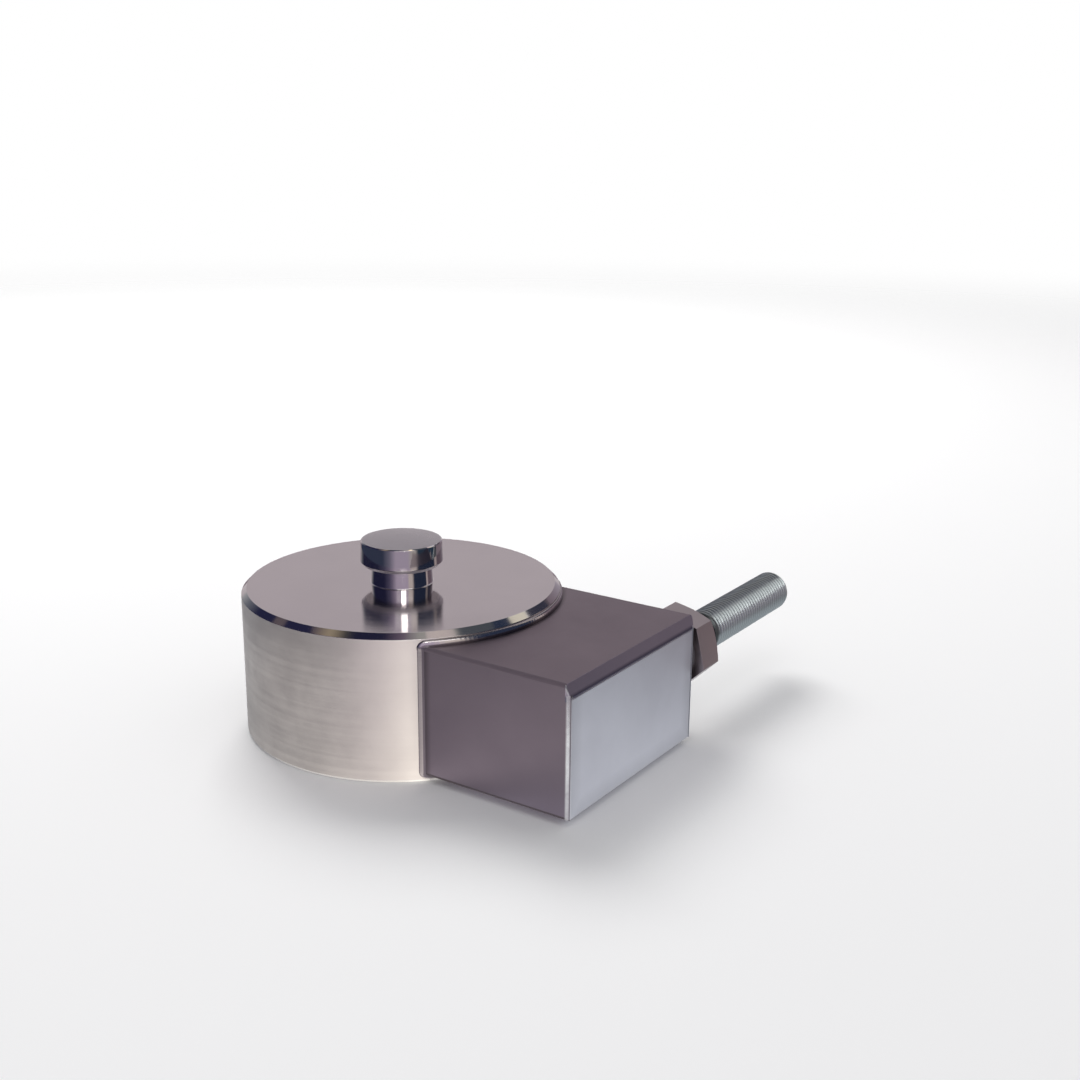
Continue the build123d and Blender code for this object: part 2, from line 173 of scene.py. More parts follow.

# Painted light and shade on the housing: places along the end bevel, the seam, the gap and the lit end
# corners (the near one also smoother), the shaded low side and the long edges, and their colours
end_bevel_depth = 1.2
end_bevel_height = 3.4
end_bevel_foot = housing_high.z - end_bevel_height
bevel_shade_rise = (-0.4, -0.1)
seam_start = -1.1
seam_fade = (0.1, 0.9)
lit_corner_width = 1.7
lit_corner_reach = 1.3
lit_corner_rise = (0.2, 0.8)
lit_corner_fall = (1.6, 2.0)
lit_corner_top = 0.6
lit_corner_low_fade = (8.0, 18.0)
lit_bevel_skin = 0.334
lit_bevel_width = 0.4
lit_bevel_start = 0.4
gap_rise = (1.8, 2.2)
gap_end = 4.0
far_corner_width = 1.2
far_corner_depth = 0.3
bevel_painted_light_colour = (0.33, 0.30, 0.36)
seam_shade_colour = (0.10, 0.095, 0.14)
lit_corner_glint = (0.72, 1.0)
lit_corner_low_share = 0.65
lit_corner_roughness = 0.24
lit_corner_highlight_colour = (0.54, 0.545, 0.56)
lit_bevel_roughness = 0.5
lit_bevel_highlight_colour = (0.44, 0.44, 0.46)
gap_shade_colour = (0.19, 0.18, 0.20)
far_corner_highlight_colour = (0.50, 0.51, 0.55)
low_side_top = housing_high.z - 0.4
long_edge_roughness = 0.9
long_edge_sheen_colour = (0.295, 0.255, 0.288)
foot_edge_shade_colour = (0.13, 0.112, 0.125)
edge_fade = 0.1

# Grain of the finishes, in features per metre
fine_ring_scale = 9000.0
broad_ring_scale = 700.0
turned_wear_scale = 90.0
blasted_grain_scale = 5200.0
moulded_grain_scale = 2600.0
corner_glint_scale = 500.0

# Turn of stretched reflections that lays them across the turned lines
quarter_turn = 0.25


# Mesh helpers
def make_mesh(name, points, faces, materials, smooth_angle=smooth_angle_limit):
    """A mesh object from points in millimetres, shaded smooth up to an angle in degrees."""
    mesh = bpy.data.meshes.new(name)
    mesh.from_pydata([Vector(point) * MM for point in points], [], faces)
    mesh.validate()
    for material in materials:
        mesh.materials.append(material)
    piece = bpy.data.objects.new(name, mesh)
    bpy.context.scene.collection.objects.link(piece)
    tidy_mesh(mesh)
    shade(mesh, smooth_angle)
    return piece


def tidy_mesh(mesh):
    """Merges doubled points, drops faces without area and turns the rest outwards."""
    work = bmesh.new()
    work.from_mesh(mesh)
    bmesh.ops.remove_doubles(work, verts=work.verts, dist=doubled_gap * MM)
    bmesh.ops.dissolve_degenerate(work, edges=work.edges, dist=flat_face_gap * MM)
    bmesh.ops.recalc_face_normals(work, faces=work.faces)
    work.to_mesh(mesh)
    work.free()


def shade(mesh, smooth_angle):
    """Smooth shading with sharp edges above the given angle."""
    mesh.shade_smooth()
    mesh.set_sharp_from_angle(angle=math.radians(smooth_angle))


def even_normals(piece):
    """Lets the broad faces set the shading, so that small rounds don't tilt it."""
    even = piece.modifiers.new("even", "WEIGHTED_NORMAL")
    even.keep_sharp = True


def place_piece(piece, node=None):
    """Puts a new piece on the root and in place of a CAD node."""
    even_normals(piece)
    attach(piece, "root")
    if node is not None:
        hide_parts(node)


def grid_faces(rows, wide, closed=False):
    """Faces between neighbouring rows of points, which a closed grid joins up round both ways."""
    spare = 0 if closed else 1
    faces = []
    for row in range(rows - spare):
        here, after = row * wide, (row + 1) % rows * wide
        for step in range(wide - spare):
            beside = (step + 1) % wide
            faces.append((here + step, here + beside, after + beside, after + step))
    return faces


def rounded_outline(corners):
    """The outline with each corner (x, y, radius) turned into an arc of a few points."""
    outline = []
    count = len(corners)
    for index, (x, y, radius) in enumerate(corners):
        here = Vector((x, y))
        if radius <= 0 or index in (0, count - 1):
            outline.append(here)
            continue
        before = (Vector(corners[index - 1][:2]) - here).normalized()
        after = (Vector(corners[index + 1][:2]) - here).normalized()
        half = before.angle(after) / 2
        reach = radius / math.tan(half)
        start = here + before * reach
        end = here + after * reach
        centre = here + (before + after).normalized() * (radius / math.sin(half))
        for step in range(corner_steps + 1):
            spoke = start.lerp(end, step / corner_steps) - centre
            outline.append(centre + spoke.normalized() * radius)
    return outline


def lathe(name, outline, materials, material_of=None, segments=turned_segments):
    """Turns an outline of (radius, height) points round the Z axis."""
    points = []
    rows = []
    for radius, height in outline:
        if radius == 0:
            rows.append([len(points)] * segments)
            points.append((0, 0, height))
            continue
        first = len(points)
        for step in range(segments):
            angle = 2 * math.pi * step / segments
            points.append((radius * math.cos(angle), radius * math.sin(angle), height))
        rows.append([first + step for step in range(segments)])
    faces = []
    for lower, upper in zip(rows, rows[1:]):
        for step in range(segments):
            after = (step + 1) % segments
            loop = [lower[step], lower[after], upper[after], upper[step]]
            face = [point for spot, point in enumerate(loop) if point != loop[spot - 1]]
            if len(face) >= 3:
                faces.append(face)
    piece = make_mesh(name, points, faces, materials)
    if material_of is not None:
        for polygon in piece.data.polygons:
            centre = polygon.center / MM
            spot = Vector((math.hypot(centre.x, centre.y), centre.z))
            polygon.material_index = material_of(spot)
    return piece


def carve(piece, cutters):
    """Takes the cutters out of a piece with exact booleans and deletes them."""
    for cutter in cutters:
        cut = piece.modifiers.new("cut", "BOOLEAN")
        cut.operation = "DIFFERENCE"
        cut.solver = "EXACT"
        cut.object = cutter
    graph = bpy.context.evaluated_depsgraph_get()
    carved = bpy.data.meshes.new_from_object(piece.evaluated_get(graph))
    piece.modifiers.clear()
    piece.data = carved
    for cutter in cutters:
        bpy.data.objects.remove(cutter)
    shade(carved, smooth_angle_limit)


def helix_surface(turn_radius, start, end, pitch, segments, rows_per_turn):
    """Rows of (angle, distance, radius) that follow a thread's helix between two ends."""
    rows = []
    first = -rows_per_turn
    last = math.ceil((end - start) / pitch * rows_per_turn) + 1
    for row in range(first, last + 1):
        line = []
        for step in range(segments + 1):
            raw = start + (row / rows_per_turn + step / segments) * pitch
            distance = min(max(raw, start), end)
            phase = (row / rows_per_turn) % 1.0
            if raw != distance:
                phase = ((distance - start) / pitch - step / segments) % 1.0
            line.append((2 * math.pi * step / segments, distance, turn_radius(phase, distance)))
        rows.append(line)
    return rows


# Nodes of a finish
class Finish:
    """A procedural material: one Principled shader and the nodes that feed it."""

    def __init__(self, name, colour, metallic, roughness):
        self.material = bpy.data.materials.new(name)
        self.material.use_nodes = True
        self.tree = self.material.node_tree
        self.shader = self.tree.nodes["Principled BSDF"]
        self.feed("Base Color", (*colour, 1.0))
        self.feed("Metallic", metallic)
        self.feed("Roughness", roughness)
        self.colour = colour
        self.material.diffuse_color = (*colour, 1.0)
        texture_place = self.tree.nodes.new("ShaderNodeTexCoord")
        self.place = texture_place.outputs["Object"]

    def link(self, source, target):
        """Feeds a socket from an output or sets it to a plain value."""
        if isinstance(source, bpy.types.NodeSocket):
            self.tree.links.new(source, target)
        else:
            target.default_value = source

    def math(self, operation, first, second=0.0):
        """One Math node."""
        node = self.tree.nodes.new("ShaderNodeMath")
        node.operation = operation
        self.link(first, node.inputs[0])
        self.link(second, node.inputs[1])
        return node.outputs[0]

    def product(self, first, *others):
        """Several values multiplied."""
        for other in others:
            first = self.math("MULTIPLY", first, other)
        return first

    def blend(self, share, low, high):
        """The low value where the share is 0 and the high one where it is 1."""
        rest = 1.0 - share if isinstance(share, float) else self.math("SUBTRACT", 1.0, share)
        return self.math("ADD", self.product(low, rest), self.product(high, share))

    def beyond(self, place, limit):
        """1 past a limit in millimetres, otherwise 0."""
        return self.math("GREATER_THAN", place, limit * MM)

    def short_of(self, place, limit):
        """1 before a limit in millimetres, otherwise 0."""
        return self.math("LESS_THAN", place, limit * MM)

    def ramp(self, place, low, high, new_low=0.0, new_high=1.0):
        """Goes from one value to another between two places in millimetres."""
        return self.span(place, low * MM, high * MM, new_low, new_high)

    def noise(self, scale, detail, roughness):
        """Noise from 0 to 1 over the object, with scale in features per metre."""
        node = self.tree.nodes.new("ShaderNodeTexNoise")
        self.link(self.place, node.inputs["Vector"])
        node.inputs["Scale"].default_value = scale
        node.inputs["Detail"].default_value = detail
        node.inputs["Roughness"].default_value = roughness
        return node.outputs["Fac"]

    def stripes(self, value, scale, detail):
        """One-dimensional noise along a value, such as the radius in metres."""
        node = self.tree.nodes.new("ShaderNodeTexNoise")
        node.noise_dimensions = "1D"
        self.link(value, node.inputs["W"])
        node.inputs["Scale"].default_value = scale
        node.inputs["Detail"].default_value = detail
        return node.outputs["Fac"]

    def span(self, value, low, high, new_low, new_high):
        """Moves a value from one range to another and clamps it there."""
        node = self.tree.nodes.new("ShaderNodeMapRange")
        self.link(value, node.inputs["Value"])
        limits = {"From Min": low, "From Max": high, "To Min": new_low, "To Max": new_high}
        for name, limit in limits.items():
            node.inputs[name].default_value = limit
        return node.outputs["Result"]

    def tint(self, factor, first, second):
        """Mixes two colours."""
        node = self.tree.nodes.new("ShaderNodeMix")
        node.data_type = "RGBA"
        self.link(factor, node.inputs[0])
        for socket, colour in ((node.inputs[6], first), (node.inputs[7], second)):
            if isinstance(colour, tuple):
                colour = (*colour[:3], 1.0)
            self.link(colour, socket)
        return node.outputs[2]

    def axis_parts(self):
        """The x, y and z of the object place."""
        node = self.tree.nodes.new("ShaderNodeSeparateXYZ")
        self.link(self.place, node.inputs[0])
        return node.outputs

    def turned_radius(self, across=("X", "Y"), middle=(0.0, 0.0)):
        """Distance from a turning axis in metres."""
        parts = self.axis_parts()
        squares = []
        for axis, offset in zip(across, middle):
            shifted = self.math("SUBTRACT", parts[axis], offset * MM)
            squares.append(self.product(shifted, shifted))
        return self.math("SQRT", self.math("ADD", *squares))

    def feed(self, socket, source):
        """Feeds or sets a socket of the shader."""
        self.link(source, self.shader.inputs[socket])

    def bump(self, height, depth):
        """Adds a bump whose full height is the given depth in millimetres."""
        node = self.tree.nodes.new("ShaderNodeBump")
        node.inputs["Distance"].default_value = depth * MM
        self.link(height, node.inputs["Height"])
        self.feed("Normal", node.outputs["Normal"])

    def darker(self, factor):
        """The finish's own colour times a factor."""
        return tuple(channel * factor for channel in self.colour)

    def source_of(self, socket):
        """The output that feeds a socket of the shader."""
        return self.shader.inputs[socket].links[0].from_socket

    def layer(self, share, colour, roughness=None):
        """Lays a second colour, and a roughness with it, over the finish where the share is 1."""
        self.feed("Base Color", self.tint(share, self.source_of("Base Color"), colour))
        if roughness is not None:
            self.feed("Roughness", self.blend(share, self.source_of("Roughness"), roughness))

    def darken(self, place, start, end, share, darkness):
        """Darkens the colour by a share that fades out between two places in millimetres."""
        self.layer(self.ramp(place, start, end, share, 0.0), self.darker(darkness))

    def polish_inside(self, inner, outer, polished):
        """Lowers the roughness towards the turning axis, between two radii."""
        share = self.ramp(self.turned_radius(), inner, outer)
        self.feed("Roughness", self.blend(share, polished, self.source_of("Roughness")))

    def edge_sheen_and_foot_shade(self, roughness):
        """Painted sheen on the rounded long edges of the housing and painted shade along its foot, both
        with a rougher finish.
        """
        parts = self.axis_parts()
        aside = self.math("ABSOLUTE", parts["Y"])
        for operation, corner, colour in (
            ("ADD", housing_high.y + housing_high.z, long_edge_sheen_colour),
            ("SUBTRACT", housing_high.y - housing_low.z, foot_edge_shade_colour),
        ):
            out = self.math(operation, aside, parts["Z"])
            edge = corner - housing_edge_radius
            self.layer(self.ramp(out, edge - edge_fade, edge + edge_fade), colour, roughness)

    def shade_low_side(self, high, share_high, low, share_low, darkness):
        """Painted shade: darkens everything below a height, and more towards a second height."""
        height = self.axis_parts()["Z"]
        share = self.ramp(height, low, high, share_low, share_high)
        dark = tuple(channel * factor for channel, factor in zip(self.colour, darkness))
        self.layer(self.product(share, self.short_of(height, high + edge_fade)), dark)

    def shade_end_bevel(self, rise, at_end):
        """Painted light on the bevel above the end cover, and painted shade in the seam along its foot."""
        self.layer(self.product(self.ramp(rise, *bevel_shade_rise), at_end), bevel_painted_light_colour)
        seam = self.ramp(rise, *seam_fade, 1.0, 0.0)
        self.layer(self.product(seam, self.beyond(rise, seam_start), at_end), seam_shade_colour)

    def paint_end_corner_light_and_shade(self):
        """Painted highlight on the housing's near end corner, which is also smoother, with painted shade in
        the seam and gap beside it, painted light on the top bevel and painted highlights on the bevel's
        near corner and the far end corner.
        """
        parts = self.axis_parts()
        x, y, z = parts["X"], parts["Y"], parts["Z"]
        rise = self.math("SUBTRACT", z, end_bevel_foot * MM)
        self.shade_end_bevel(rise, self.beyond(x, housing_high.x - end_bevel_depth - edge_fade / 2))
        # Painted highlight with a speckled glint down the near end corner, fainter lower down, where the
        # finish is also smoother
        corner = self.math("ADD", x, self.math("ABSOLUTE", y))
        at_corner = self.beyond(corner, housing_high.x + housing_high.y - lit_corner_width)
        start = housing_high.x - housing_high.y - lit_corner_reach
        along = self.math("SUBTRACT", self.math("ADD", x, y), start * MM)
        glint = self.span(self.noise(corner_glint_scale, 3.0, 0.6), 0.3, 0.6, *lit_corner_glint)
        low_end = self.short_of(rise, lit_corner_top)

        outer_end = self.ramp(along, *lit_corner_rise)
        inner_end = self.ramp(along, *lit_corner_fall, 1.0, 0.0)
        faded = self.ramp(z, *lit_corner_low_fade, lit_corner_low_share)
        corner_light = self.product(inner_end, outer_end, at_corner, glint, low_end, faded)
        self.layer(corner_light, lit_corner_highlight_colour, lit_corner_roughness)

        # Painted highlight on the near corner of the top bevel, with a rougher finish there
        slope = end_bevel_depth / end_bevel_height
        slant = self.math("ADD", x, self.product(rise, slope))
        skin = self.beyond(slant, housing_high.x - lit_bevel_skin)
        near_side = self.short_of(y, lit_bevel_width - housing_high.y)
        upper = self.beyond(rise, lit_bevel_start)
        self.layer(self.product(skin, near_side, upper, glint), lit_bevel_highlight_colour, lit_bevel_roughness)

        # Painted shade in the gap between the housing and the cover, beside the lit corner
        gap = self.product(self.ramp(along, *gap_rise), self.short_of(along, gap_end), at_corner, low_end)
        self.layer(gap, gap_shade_colour)

        # Painted highlight on the far end corner
        far_side = self.beyond(y, housing_high.y - far_corner_width)
        far_end = self.beyond(x, housing_high.x - far_corner_depth)
        self.layer(self.product(far_side, far_end, low_end), far_corner_highlight_colour)

    def paint_border_shade(self, low, high, reach, amount, darkness):
        """Painted shade: darkens a plate a little towards its sides and its foot."""
        parts = self.axis_parts()
        half = (high.y - low.y) / 2 * MM
        from_side = self.math("SUBTRACT", half, self.math("ABSOLUTE", parts["Y"]))
        from_foot = self.math("SUBTRACT", parts["Z"], low.z * MM)
        inset = self.math("MINIMUM", from_side, from_foot)
        self.darken(inset, 0.0, reach, amount, darkness)

    def turned_lines(self, axis, amount):
        """Stretches reflections across lines that run round an axis of the piece."""
        tangent = self.tree.nodes.new("ShaderNodeTangent")
        tangent.direction_type = "RADIAL"
        tangent.axis = axis
        self.feed("Tangent", tangent.outputs[0])
        self.feed("Anisotropic", amount)
        self.feed("Anisotropic Rotation", quarter_turn)

    def mottle(self, amount, scale, darkness):
        """Broad soft patches that darken the colour a little."""
        share = self.span(self.noise(scale, 4.0, 0.6), 0.35, 0.75, 0.0, amount)
        self.feed("Base Color", self.tint(share, self.colour, self.darker(darkness)))


def turned_steel(name, colour, roughness, ring_depth, across=("X", "Y"), middle=(0.0, 0.0), along="Z"):
    """Turned steel: fine rings round the axis in roughness and relief, with faint patches."""
    finish = Finish(name, colour, 1.0, roughness)
    radius = finish.turned_radius(across, middle)
    height = finish.axis_parts()[along]
    ring_place = finish.math("ADD", radius, height)
    fine = finish.stripes(ring_place, fine_ring_scale, detail=4.0)
    broad = finish.stripes(ring_place, broad_ring_scale, detail=2.0)
    wear = finish.noise(turned_wear_scale, detail=5.0, roughness=0.65)
    rings = finish.blend(0.65, broad, fine)
    polish = finish.blend(0.6, wear, rings)
    finish.feed("Roughness", finish.span(polish, 0.3, 0.7, roughness * 0.75, roughness * 1.3))
    finish.mottle(amount=0.35, scale=45.0, darkness=0.86)
    if ring_depth > 0:
        finish.bump(rings, ring_depth)
    return finish


def blasted_steel(name, colour, roughness, grain_depth, patch_scale=35.0):
    """Fine blasted or satin steel: close grain, faint patches and a little wear."""
    finish = Finish(name, colour, 1.0, roughness)
    grain = finish.noise(blasted_grain_scale, 2.0, 0.6)
    cloud = finish.noise(patch_scale, 4.0, 0.6)
    mixed = finish.blend(0.7, grain, cloud)
    finish.feed("Roughness", finish.span(mixed, 0.3, 0.7, roughness * 0.85, roughness * 1.18))
    finish.mottle(amount=0.4, scale=patch_scale * 1.6, darkness=0.86)
    finish.bump(grain, grain_depth)
    return finish


def moulded(name, colour, roughness, grain=0.01):
    """Moulded plastic or rubber with a fine grain and faint patches."""
    finish = Finish(name, colour, 0.0, roughness)
    texture = finish.noise(moulded_grain_scale, 3.0, 0.6)
    finish.feed("Roughness", finish.span(texture, 0.3, 0.7, roughness * 0.85, roughness * 1.15))
    finish.mottle(amount=0.5, scale=220.0, darkness=0.8)
    finish.bump(texture, grain)
    return finish


# Finishes of the visible metal, some with painted light and shade
top_steel = turned_steel("body_top_lapped", (0.53, 0.505, 0.515), 0.14, 0.00003)
top_steel.turned_lines("Z", amount=0.92)
top_steel.polish_inside(inner=9.0, outer=40.0, polished=0.05)
rim_steel = turned_steel("body_rim_polished", (0.56, 0.55, 0.55), 0.09, 0.00004)
wall_steel = turned_steel("body_wall_satin", (0.60, 0.565, 0.54), 0.42, 0.0002)
wall_steel.turned_lines("Z", amount=0.8)
under_steel = turned_steel("body_underside_ground", (0.55, 0.54, 0.53), 0.26, 0.0006)
button_steel = turned_steel("button_polished", (0.60, 0.58, 0.59), 0.06, 0.00003)
dome_steel = turned_steel("button_dome_ground", (0.43, 0.43, 0.45), 0.30, 0.0)
# Ground lower edge of the button, painted lighter for the light it catches
button_lit_edge = turned_steel("button_edge_ground_painted_light", (0.88, 0.85, 0.88), 0.55, 0.0)
housing_steel = blasted_steel("housing_satin", (0.198, 0.165, 0.192), 0.42, 0.004)
# Painted shade on the housing below its roof, deeper and bluer towards its bottom
housing_steel.shade_low_side(
    high=low_side_top, share_high=0.28, low=housing_low.z, share_low=0.56, darkness=(0.43, 0.44, 0.55)
)
# Painted shade on the housing beside the weld bead, fading out away from it
housing_steel.darken(housing_steel.turned_radius(), weld_toe_radius, weld_side_shade_end, 0.6, 0.3)
# Painted sheen on the long top edges and painted shade along the foot edges
housing_steel.edge_sheen_and_foot_shade(long_edge_roughness)
# Painted light and shade at the housing's end, with a smoother lit near corner
housing_steel.paint_end_corner_light_and_shade()
# The weld bead's colour is painted in bands by the turn of its surface: painted highlight on the crown,
# painted shade on the flanks, deeper painted shade at the toes
weld_crown_highlight = blasted_steel("weld_crown_painted_highlight", (0.52, 0.50, 0.50), 0.16, 0.0004, 180.0)
weld_flank_shade = blasted_steel("weld_flank_painted_shade", (0.27, 0.245, 0.26), 0.22, 0.0004, 180.0)
weld_toe_shade = blasted_steel("weld_toe_painted_shade", (0.11, 0.095, 0.115), 0.30, 0.0004, 180.0)
cover_steel = blasted_steel("cover_blasted", (0.60, 0.61, 0.66), 0.46, 0.004)
# Painted shade towards the end cover's sides and foot
cover_steel.paint_border_shade(cover_low, cover_high, reach=5.0, amount=0.26, darkness=0.35)
bottom_steel = turned_steel("bottom_cover_turned", (0.56, 0.55, 0.54), 0.24, 0.0006)
fitting_steel = blasted_steel("fitting_satin", (0.345, 0.304, 0.312), 0.34, 0.003)
gland_plane = (("X", "Z"), (gland_x, gland_z))
stem_steel = turned_steel("stem_plated", (0.40, 0.45, 0.465), 0.30, 0.0, *gland_plane, "Y")
# Darker towards the bottom of the thread's grooves
groove_bottom = stem_radius - thread_depth
stem_steel.darken(stem_steel.turned_radius(*gland_plane), groove_bottom, stem_radius, 1.0, 0.28)
# Painted shade on the stem from the hexagon to just past its relief, fading out there
stem_steel.darken(stem_steel.axis_parts()["Y"], hex_high.y + root_shade_start, hex_high.y + root_shade_end, 0.9, 0.12)
seal_rubber = moulded("seal_rubber", (0.085, 0.078, 0.09), 0.62)
bush_rubber = moulded("bush_rubber", (0.035, 0.035, 0.04), 0.58)


# Elastic body with its chamber, base holes and their threads
def body_outline():
    """Closed turned outline of the elastic body."""
    small = turned_round
    corners = [
        (0, body_top, 0),
        (body_radius - rim_chamfer, body_top, small),
        (body_radius, body_top - rim_chamfer, small),
        (body_radius, foot_chamfer, small),
        (body_radius - foot_chamfer, 0, small),
        (recess_radius, 0, small),
        (recess_radius, recess_depth, small),
        (ring_bore_radius, recess_depth, small),
        (ring_bore_radius, web_underside, chamber_round),
        (hub_radius, web_underside, chamber_round),
        (hub_radius, hub_underside, small),
        (0, hub_underside, 0),
    ]
    return rounded_outline(corners)


def body_finish(spot):
    """Material index of the elastic body by (radius, height)."""
    radius, height = spot
    if height > body_top - top_margin and radius < body_radius - rim_chamfer:
        return 0
    if height > body_top - rim_chamfer - rim_margin:
        return 1
    if radius > body_radius - face_margin and height > foot_chamfer:
        return 2
    return 3


def bolt_places():
    """Centres of the base holes."""
    for index in range(bolt_count):
        angle = math.radians(bolt_first_angle + index * 360 / bolt_count)
        yield bolt_circle_radius * math.cos(angle), bolt_circle_radius * math.sin(angle)


def bolt_cutter(x, y):
    """The space of one base hole: a bore at the thread's outer size with a countersunk mouth."""
    outline = [
        (0, -bolt_cutter_overshoot),
        (bolt_thread_radius + bolt_mouth_chamfer + bolt_cutter_overshoot, -bolt_cutter_overshoot),
        (bolt_thread_radius, bolt_mouth_chamfer),
        (bolt_thread_radius, bolt_hole_depth),
        (0, bolt_hole_depth + bolt_drill_point),
    ]
    cutter = lathe("cutter", outline, [under_steel.material], segments=bolt_segments)
    for vertex in cutter.data.vertices:
        vertex.co += Vector((x, y, 0)) * MM
    return cutter


body_shell = lathe(
    "body_shell",
    body_outline(),
    [top_steel.material, rim_steel.material, wall_steel.material, under_steel.material],
    body_finish,
)
carve(body_shell, [bolt_cutter(x, y) for x, y in bolt_places()])
place_piece(body_shell, "elastic_body")


def bolt_thread(index, x, y):
    """The thread inside one base hole, as a ring of metal between its two sizes."""
    start, end = bolt_mouth_chamfer, bolt_hole_depth

    def thread_radius(phase, distance):
        run_in = min(1.0, (distance - start) / bolt_thread_pitch)
        tooth = 1 - min(1.0, abs(phase - 0.5) / bolt_tooth_half)
        return bolt_thread_radius - run_in * bolt_thread_depth * tooth

    rows = helix_surface(
        thread_radius, start, end, bolt_thread_pitch, bolt_segments, bolt_rows_per_turn
    )
    points = [
        (x + radius * math.cos(angle), y + radius * math.sin(angle), distance)
        for line in rows
        for angle, distance, radius in line
    ]
    faces = grid_faces(len(rows), bolt_segments + 1)
    piece = make_mesh(f"base_thread_{index}", points, faces, [under_steel.material])
    place_piece(piece)


for number, (bolt_x, bolt_y) in enumerate(bolt_places(), start=1):
    bolt_thread(number, bolt_x, bolt_y)


# Load button with its domed head and waisted neck
def button_outline():
    """Turned outline of the load button from its dome down into its seat."""
    small = turned_round
    head_top = button_radius - button_taper
    dome_edge = head_top - button_rim_round
    cove_edge = button_neck_foot + button_foot_cove
    dome_centre = button_apex - button_dome_radius
    outline = []
    for step in range(button_dome_steps):
        radius = dome_edge * step / button_dome_steps
        outline.append(Vector((radius, dome_centre + math.sqrt(button_dome_radius**2 - radius**2))))
    corners = [
        (*outline[-1], 0),
        (dome_edge, button_top, small),
        (head_top, button_top - button_rim_round, small),
        (button_radius, button_shoulder + button_under_chamfer, button_under_round),
        (button_radius - button_under_chamfer, button_shoulder, button_under_round),
        (button_neck_radius, button_shoulder, small),
        (button_neck_foot, body_top + button_foot_lift, button_cove_round),
        (cove_edge, body_top + button_skirt_round, button_skirt_round),
        (cove_edge, body_top - button_skirt_depth, 0),
        (cove_edge, body_top - button_seat_depth, 0),
        (0, body_top - button_seat_depth, 0),
    ]
    return outline[:-1] + rounded_outline(corners)


def button_finish(spot):
    """Material index of the button: polished sides, ground dome or ground lower edge with painted light."""
    radius, height = spot
    if height > button_top - face_margin and radius < button_radius - button_taper - button_rim_round:
        return 1
    outside_neck = radius > button_neck_foot + button_head_clearance
    if outside_neck and height < button_shoulder + button_ground_height:
        return 2
    return 0


button_piece = lathe(
    "button_turned",
    button_outline(),
    [button_steel.material, dome_steel.material, button_lit_edge.material],
    button_finish,
    button_segments,
)
place_piece(button_piece, "load_button")


# Weld bead that follows the saddle line round the housing
def housing_loop():
    """Points (y, z, outward y, outward z) round the housing's outline."""
    half_width = housing_high.y
    low, high = housing_low.z, housing_high.z
    radius = housing_edge_radius
    centres = [
        (half_width - radius, high - radius, 0),
        (-half_width + radius, high - radius, 90),
        (-half_width + radius, low + radius, 180),
        (half_width - radius, low + radius, 270),
    ]
    loop = []
    for index, (centre_y, centre_z, start_angle) in enumerate(centres):
        for step in range(weld_corner_steps + 1):
            angle = math.radians(start_angle + 90 * step / weld_corner_steps)
            out_y, out_z = math.cos(angle), math.sin(angle)
            loop.append((centre_y + radius * out_y, centre_z + radius * out_z, out_y, out_z))
        next_y, next_z, _ = centres[(index + 1) % 4]
        begin = Vector((centre_y + radius * out_y, centre_z + radius * out_z))
        end = Vector((next_y + radius * out_y, next_z + radius * out_z))
        steps = int((end - begin).length * weld_steps_per_mm)
        for step in range(1, steps):
            spot = begin.lerp(end, step / steps)
            loop.append((spot.x, spot.y, out_y, out_z))
    return loop


def weld_finish(spot):
    """Material index of the weld: painted highlight on the crown, painted shade on the flank, deeper
    painted shade at the toe.
    """
    off_wall = max(math.hypot(spot.x, spot.y) - body_radius, 0.0)
    over_roof = spot.z - housing_high.z
    off_housing = max(abs(spot.y) - housing_high.y, over_roof, housing_low.z - spot.z, 0.0)
    turn = math.degrees(math.atan2(off_wall, off_housing))
    if over_roof > 0:
        return 0 if weld_crown_turns[0] < turn < weld_crown_turns[1] else 1
    return 1 if weld_flank_turns[0] <= turn <= weld_flank_turns[1] else 2


def weld_bead():
    """A slightly crowned bead in the corner between the body's wall and the housing."""
    loop = housing_loop()
    off_body = Vector((1, 0, 0))
    points = []
    travelled = 0.0
    last = loop[-1]
    for y, z, out_y, out_z in loop:
        travelled += math.hypot(y - last[0], z - last[1])
        last = (y, z)
        x = math.sqrt(body_radius**2 - y**2)
        root = Vector((x, y, z))
        along_body = Vector((-y / x * out_y, out_y, out_z)).normalized()
        ripple = 1 + weld_ripple * math.sin(2 * math.pi * travelled / weld_ripple_pitch)
        leg = weld_leg * ripple
        body_leg = leg + max(0.0, out_z) * (weld_roof_leg - weld_leg)
        points.append(root + along_body * body_leg - off_body * weld_toe_sink)
        for step in range(weld_profile_steps + 1):
            angle = math.pi / 2 * step / weld_profile_steps
            reach = body_leg * math.cos(angle) ** weld_bulge
            rise = leg * math.sin(angle) ** weld_bulge
            points.append(root + along_body * reach + off_body * rise)
        points.append(root - along_body * weld_sink + off_body * leg)
    faces = grid_faces(len(loop), len(points) // len(loop), closed=True)
    # Painted highlight and shade in bands by the turn of the bead's surface
    finishes = [weld_crown_highlight.material, weld_flank_shade.material, weld_toe_shade.material]
    piece = make_mesh("weld_bead", points, faces, finishes, weld_smooth_angle)
    for polygon in piece.data.polygons:
        polygon.material_index = weld_finish(polygon.center / MM)
    place_piece(piece, "saddle_weld")


weld_bead()


